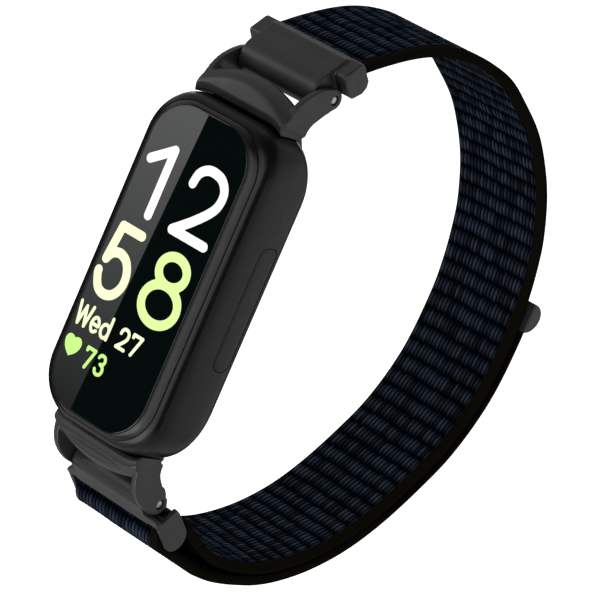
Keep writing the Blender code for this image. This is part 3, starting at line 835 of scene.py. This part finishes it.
def webbing(name, s0, s1, node, hooked=None):
    """Solid band over one stretch of the path, with ribs and yarns raised on both faces.
    hooked(s) is the share of the half thickness left on the side that carries the hooks."""
    pick = np.where((PATH_S >= s0 - 1e-6) & (PATH_S <= s1 + 1e-6))[0]
    cols = columns()
    shoulder = np.sqrt(np.clip(1 - (np.clip(np.abs(cols) - 6.45, 0, None) / 0.45) ** 2, 0, 1))
    plain = np.clip(np.minimum(cols - WOVEN[0], WOVEN[1] - cols) / 0.2 + 0.4, 0, 1)
    s = PATH_S[pick]
    count = len(pick)
    shift = 0.13 * uneven(np.floor(cols / YARN), 1.0)
    along = s[:, None] + shift[None, :]
    rib = np.abs(np.sin(math.pi * along / RIB)) ** 0.6
    shape = np.abs(np.sin(math.pi * cols / YARN))[None, :] ** 0.7
    fade = np.clip(np.minimum(s - PATH_S[0], PATH_S[-1] - s) / 1.0, 0, 1)
    lift = plain[None, :] * (0.30 * (1 - rib) + 0.14 * (1 - shape) * rib)
    half = STRAP_T / 2
    top = shoulder[None, :] * (half - lift * fade[:, None])
    low = -top.copy()
    if hooked is not None:
        top = top * np.array([hooked(v) for v in s])[:, None]
    wide = len(cols)
    points, uv = [], []
    for offset in (top, low):
        for i, k in enumerate(pick):
            for j in range(wide):
                d, z = PATH[k] + PATH_N[k] * offset[i, j]
                points.append((cols[j], d, z))
                uv.append((cols[j], along[i, j]))
    faces = []
    base = count * wide
    for i in range(count - 1):
        for j in range(wide - 1):
            a, b, c, e = i * wide + j, i * wide + j + 1, (i + 1) * wide + j + 1, (i + 1) * wide + j
            faces.append((a, b, c, e))
            faces.append((base + e, base + c, base + b, base + a))
    rim_low = [base + j for j in range(wide)]
    rim_high = [base + (count - 1) * wide + j for j in range(wide)]
    for j in range(wide - 1):
        faces.append((j + 1, j, rim_low[j], rim_low[j + 1]))
        k = (count - 1) * wide
        faces.append((k + j, k + j + 1, rim_high[j + 1], rim_high[j]))
    mesh = bpy.data.meshes.new(name)
    mesh.from_pydata([(x, d + RIM, z) for x, d, z in points], [], faces)
    layer = mesh.uv_layers.new(name="band")
    corners = np.zeros(len(mesh.loops), np.int32)
    mesh.loops.foreach_get("vertex_index", corners)
    layer.data.foreach_set("uv", np.array(uv)[corners].astype(np.float32).ravel())
    work = bmesh.new()
    work.from_mesh(mesh)
    bmesh.ops.remove_doubles(work, verts=[v for v in work.verts if abs(v.co.x) > 6.89], dist=1e-4)
    bmesh.ops.recalc_face_normals(work, faces=work.faces)
    work.to_mesh(mesh)
    work.free()
    obj = bpy.data.objects.new(name, mesh)
    bpy.context.scene.collection.objects.link(obj)
    return shown(obj, WEAVE, None, [node], 70)


def build_band():
    """Four stretches that meet end to end: at the top holder, the body, round the lower holder, and
    the tail.
    """
    root_end = reach_of(21.5, 32.45)
    fold_start = reach_of(23.2, -30.75)
    tail_start = float(PATH_S[(PATH[:, 0] > 20.0) & (PATH_S > fold_start + 8)][0])
    bare = float(PATH_S[(PATH[:, 0] > 50.0) & (PATH[:, 1] > -23.0) & (PATH_S > tail_start)][0])

    def hooked(s):
        t = min(max((s - bare + 1.0) / 1.5, 0.0), 1.0)
        return 1.0 - 0.75 * t * t * (3 - 2 * t)

    root = webbing("band_root", 0, root_end, "top_strap_end")
    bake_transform(root)
    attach(webbing("band_body", root_end, fold_start, "main_strap"), "tracker")
    fold = webbing("band_fold", fold_start, tail_start, "strap_fold")
    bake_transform(fold)
    tail = webbing("band_tail", tail_start, PATH_S[-1], "tail_strap", hooked)
    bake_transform(tail)


def build_end_bar():
    section = [(62.42 + 2.15 * math.sin(math.radians(t)), 5.1 + 1.9 * math.cos(math.radians(t)))
               for t in range(0, 181, 9)]
    piece = fuse("end_bar", [prism("bar", section, -7.6, 7.6)], 0.12, 7)
    cut(piece, block("slot", (-7.05, 7.05), (63.05, 64.0), (2.0, 5.6)))
    shown(piece, METAL, "tail", ["tail_end_bar"], 50)


# ------------------------------------------------------------------ inner parts
def dress():
    """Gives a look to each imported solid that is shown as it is."""
    looks = {"seal_gasket": RUBBER, "display_panel": PANEL, "main_board": BOARD,
             "battery_cell": CELL, "motor_can": STEEL, "motor_shaft": STEEL, "motor_weight": BRASS,
             "optical_sensor": PART, "key_switch_right": PART, "key_switch_left": PART,
             "top_anchor_bar": STEEL, "hook_patch": HOOK}
    for name, look in looks.items():
        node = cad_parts[name]
        node.data.materials.clear()
        node.data.materials.append(look.mat)


build_case()
build_keys()
build_front()
build_rear()
build_figures()
for end, sign in (("top", 1), ("bottom", -1)):
    build_yoke(end, sign)
    build_release(end, sign)
build_top_block()
build_bottom_ring()
build_band()
build_end_bar()
dress()


# ------------------------------------------------------------------ stage
def sheet(name, corners, faces=((0, 1, 2, 3),), colour=(0, 0, 0), strength=0.0):
    mesh = bpy.data.meshes.new(name)
    mesh.from_pydata(corners, [], faces)
    obj = bpy.data.objects.new(name, mesh)
    bpy.context.scene.collection.objects.link(obj)
    mat = bpy.data.materials.new(name)
    mat.use_nodes = True
    node = mat.node_tree.nodes["Principled BSDF"]
    node.inputs["Base Color"].default_value = (*colour, 1)
    node.inputs["Roughness"].default_value = 0.9
    node.inputs["Emission Color"].default_value = (1, 1, 1, 1)
    node.inputs["Emission Strength"].default_value = strength
    mesh.materials.append(mat)
    return obj


def reflector(name, corners, strength=0.0, faces=((0, 1, 2, 3),)):
    """Sheet seen only in reflections, dark or lit."""
    obj = sheet(name, corners, faces, strength=strength)
    obj.visible_camera = obj.visible_diffuse = obj.visible_shadow = False
    return obj


def build_floor():
    drop = 0.03              # leaves room for the tail when it hangs open
    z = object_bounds()[0].z - drop
    floor = sheet("floor", [(-9, -9, z), (9, -9, z), (9, 9, z), (-9, 9, z)],
                  colour=(0.9, 0.9, 0.9), strength=1.0)
    floor.visible_diffuse = floor.visible_glossy = floor.visible_shadow = False


def build_reflectors():
    """A soft box whose straight near edge draws the line down the display, and what dims or
    lights the other sides."""
    def edge(z):
        return -0.2318 - 0.0467 * (0.042 - z)

    heights = (0.2, 0.042, -0.1008, -0.3)
    near = [(edge(z), -0.3276, z) for z in heights]
    far = [(-3.0, -0.9, z) for z in heights]
    card = reflector("softbox", near + far, 1.0, [(k, k + 1, k + 5, k + 4) for k in range(3)])
    tree = card.data.materials[0].node_tree
    place = tree.nodes.new("ShaderNodeTexCoord")
    split = tree.nodes.new("ShaderNodeSeparateXYZ")
    fall = tree.nodes.new("ShaderNodeMapRange")
    for key, value in {"From Min": -0.10, "From Max": -0.03, "To Min": 0.36, "To Max": 2.1}.items():
        fall.inputs[key].default_value = value
    tree.links.new(place.outputs["Object"], split.inputs[0])
    tree.links.new(split.outputs[2], fall.inputs["Value"])
    tree.links.new(fall.outputs[0], tree.nodes["Principled BSDF"].inputs["Emission Strength"])

    y = -0.3275
    reflector("flag", [(edge(-0.9), y, -0.9), (edge(0.9), y, 0.9),
                       (-0.02, y, 0.9), (-0.02, y, -0.9)])
    y = -0.33
    reflector("fill", [(0.1, y, -0.5), (0.1, y, 0.3), (0.4, y, 0.3), (0.4, y, -0.5)], 1.5)
    x = 0.5
    reflector("shade", [(x, -0.75, -0.5), (x, 0.1, -0.5), (x, 0.1, 0.3), (x, -0.75, 0.3)])
    x = -0.6
    reflector("wing", [(x, -0.2, -0.5), (x, 0.6, -0.5), (x, 0.6, 0.1), (x, -0.2, 0.1)])
    z = 0.5
    reflector("roof", [(0.0, -0.8, z), (0.9, -0.8, z), (0.9, 0.2, z), (0.0, 0.2, z)])
    reflector("dim", [(-1.5, -0.33, z), (0.0, -0.33, z), (0.0, 0.2, z), (-1.5, 0.2, z)], 0.3)
    y = 0.8
    reflector("glow", [(-1.0, y, 0.12), (-0.1, y, 0.12), (-0.1, y, 0.7), (-1.0, y, 0.7)], 1.0)


def build_world():
    """White all round, brighter behind the object than in the light that it gives."""
    world = bpy.data.worlds.new("studio")
    bpy.context.scene.world = world
    world.use_nodes = True
    tree = world.node_tree
    mix = tree.nodes.new("ShaderNodeMixShader")
    path = tree.nodes.new("ShaderNodeLightPath")
    tree.links.new(path.outputs["Is Camera Ray"], mix.inputs[0])
    bright = tree.nodes.new("ShaderNodeBackground")
    for k, (back, strength) in enumerate(((tree.nodes["Background"], 0.36), (bright, 1.1))):
        back.inputs["Color"].default_value = (1, 1, 1, 1)
        back.inputs["Strength"].default_value = strength
        tree.links.new(back.outputs[0], mix.inputs[k + 1])
    tree.links.new(mix.outputs[0], tree.nodes["World Output"].inputs["Surface"])


def area(name, place, aim, size, power):
    data = bpy.data.lights.new(name, "AREA")
    data.energy = power
    data.size = size
    obj = bpy.data.objects.new(name, data)
    bpy.context.scene.collection.objects.link(obj)
    obj.location = place
    obj.rotation_mode = "QUATERNION"
    obj.rotation_quaternion = (Vector(aim) - Vector(place)).to_track_quat("-Z", "Y")
    return obj


def build_camera():
    camera = bpy.data.objects.new("camera", bpy.data.cameras.new("camera"))
    bpy.context.scene.collection.objects.link(camera)
    right = Vector((0.70490956, 0.59000681, 0.39369378))
    down = Vector((0.40987136, 0.11416587, -0.90497051))
    forward = Vector((-0.57888512, 0.79928600, -0.16135026))
    pose = Matrix((right, -down, -forward)).transposed().to_4x4()
    pose.translation = (0.2338834, -0.3275392, 0.0650348)
    camera.matrix_world = pose
    camera.data.sensor_width = 36.0
    camera.data.lens = 210.0
    camera.data.clip_start, camera.data.clip_end = 0.01, 50.0
    bpy.context.scene.camera = camera


build_floor()
build_reflectors()
build_world()
area("key", (-0.35, 0.1, 0.5), (0, 0, 0), 0.35, 0.8).visible_glossy = False
area("side", (0.42, 0.42, 0.08), (0, 0, 0), 0.45, 0.16)
area("bounce", (0.02, -0.3, -0.3), (0, 0, -0.02), 0.3, 0.8)
build_camera()
bpy.context.scene.view_settings.view_transform = "Standard"
